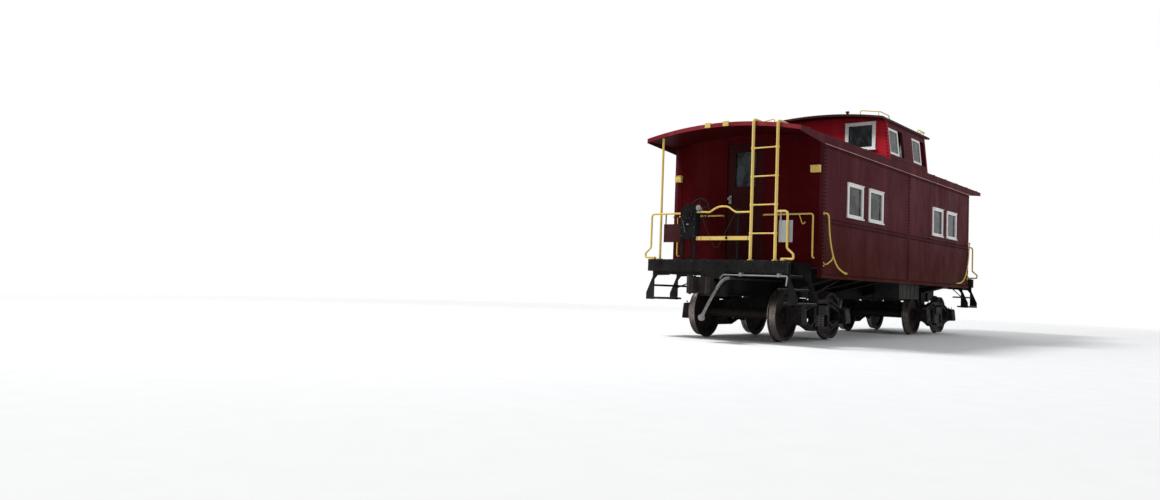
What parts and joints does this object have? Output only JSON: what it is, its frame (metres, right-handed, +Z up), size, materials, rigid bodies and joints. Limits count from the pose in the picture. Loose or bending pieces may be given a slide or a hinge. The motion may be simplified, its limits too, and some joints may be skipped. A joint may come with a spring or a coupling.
{
  "type": "railway caboose",
  "caption": "Steel railway caboose with a centre cupola, open end platforms, roof ladders, hand brakes and two swivelling trucks.",
  "frame": {"origin": "midway between the trucks, at the height of the wheel flanges' lowest points", "axes": "+X along the car, +Y across it to the left side, +Z up"},
  "size_m": [11.3862, 2.986, 4.3791],
  "materials": {
    "body_paint": "weathered satin",
    "roof_paint": "satin",
    "black_paint": "matt, dusty",
    "yellow_paint": "satin",
    "white_paint": "satin",
    "grey_paint": "matt",
    "floor_paint": "matt",
    "cast_steel": "matt, oily",
    "wheel_steel": "matt, rusty",
    "galvanised": "dull",
    "hose_rubber": "matt",
    "glass": "clear, dusty"
  },
  "bodies": {
    "carbody": {"air_gear": "black_paint", "air_hose_far": "hose_rubber", "air_hose_near": "hose_rubber", "battery_box": "grey_paint", "brake_pipe": "grey_paint", "brake_stand_far": "black_paint", "brake_stand_near": "black_paint", "brake_wheels": "galvanised", "cabin_floor": "floor_paint", "coupler_far": "cast_steel", "coupler_near": "cast_steel", "cross_bearers": "black_paint", "cupola_end_far": "roof_paint", "cupola_end_near": "roof_paint", "cupola_roof": "black_paint", "cupola_roof_rails": "yellow_paint", "cupola_side_left": "body_paint", "cupola_side_right": "body_paint", "cupola_window_frames": "white_paint", "eave_plates": "body_paint", "end_wall_far": "body_paint", "end_wall_near": "body_paint", "glad_hand_far": "grey_paint", "glad_hand_near": "grey_paint", "handrails": "yellow_paint", "ladder_far": "yellow_paint", "ladder_near": "yellow_paint", "marker_boxes": "yellow_paint", "platform_far": "black_paint", "platform_near": "black_paint", "railings_far": "yellow_paint", "railings_near": "yellow_paint", "roof": "roof_paint", "side_sills": "black_paint", "side_wall_left": "body_paint", "side_wall_right": "body_paint", "steps": "black_paint", "uncoupling_levers": "galvanised", "underframe": "black_paint", "valve_pipes": "black_paint", "window_frames_left": "white_paint", "window_frames_right": "white_paint", "window_glass": "glass"},
    "near_truck": {"truck_frame_near": "cast_steel", "truck_springs_near": "galvanised", "truck_brakes_near": "cast_steel"},
    "near_outer_axle": {"wheelset_near_outer": "wheel_steel"},
    "near_inner_axle": {"wheelset_near_inner": "wheel_steel"},
    "near_door": {"door_near": "body_paint", "door_glass_near": "glass"},
    "far_truck": {"truck_frame_far": "cast_steel", "truck_springs_far": "galvanised", "truck_brakes_far": "cast_steel"},
    "far_outer_axle": {"wheelset_far_outer": "wheel_steel"},
    "far_inner_axle": {"wheelset_far_inner": "wheel_steel"},
    "far_door": {"door_far": "body_paint", "door_glass_far": "glass"}
  },
  "joints": [
    {"name": "near_truck_swivel", "type": "hinge", "parent": "carbody", "child": "near_truck", "pos_m": [-3.18, 0, 0.716], "axis": [0, 0, 1], "range_deg": [-4, 4]},
    {"name": "near_outer_axle_spin", "type": "hinge", "parent": "near_truck", "child": "near_outer_axle", "pos_m": [-4.095, 0, 0.445], "axis": [0, 1, 0], "continuous": true},
    {"name": "near_inner_axle_spin", "type": "hinge", "parent": "near_truck", "child": "near_inner_axle", "pos_m": [-2.265, 0, 0.445], "axis": [0, 1, 0], "continuous": true},
    {"name": "near_door_hinge", "type": "hinge", "parent": "carbody", "child": "near_door", "pos_m": [-4.056, -0.35, 2.376], "axis": [0, 0, -1], "range_deg": [0, 90]},
    {"name": "far_truck_swivel", "type": "hinge", "parent": "carbody", "child": "far_truck", "pos_m": [3.18, 0, 0.716], "axis": [0, 0, 1], "range_deg": [-4, 4]},
    {"name": "far_outer_axle_spin", "type": "hinge", "parent": "far_truck", "child": "far_outer_axle", "pos_m": [4.095, 0, 0.445], "axis": [0, 1, 0], "continuous": true},
    {"name": "far_inner_axle_spin", "type": "hinge", "parent": "far_truck", "child": "far_inner_axle", "pos_m": [2.265, 0, 0.445], "axis": [0, 1, 0], "continuous": true},
    {"name": "far_door_hinge", "type": "hinge", "parent": "carbody", "child": "far_door", "pos_m": [4.056, 0.35, 2.376], "axis": [0, 0, -1], "range_deg": [0, 90]}
  ]
}
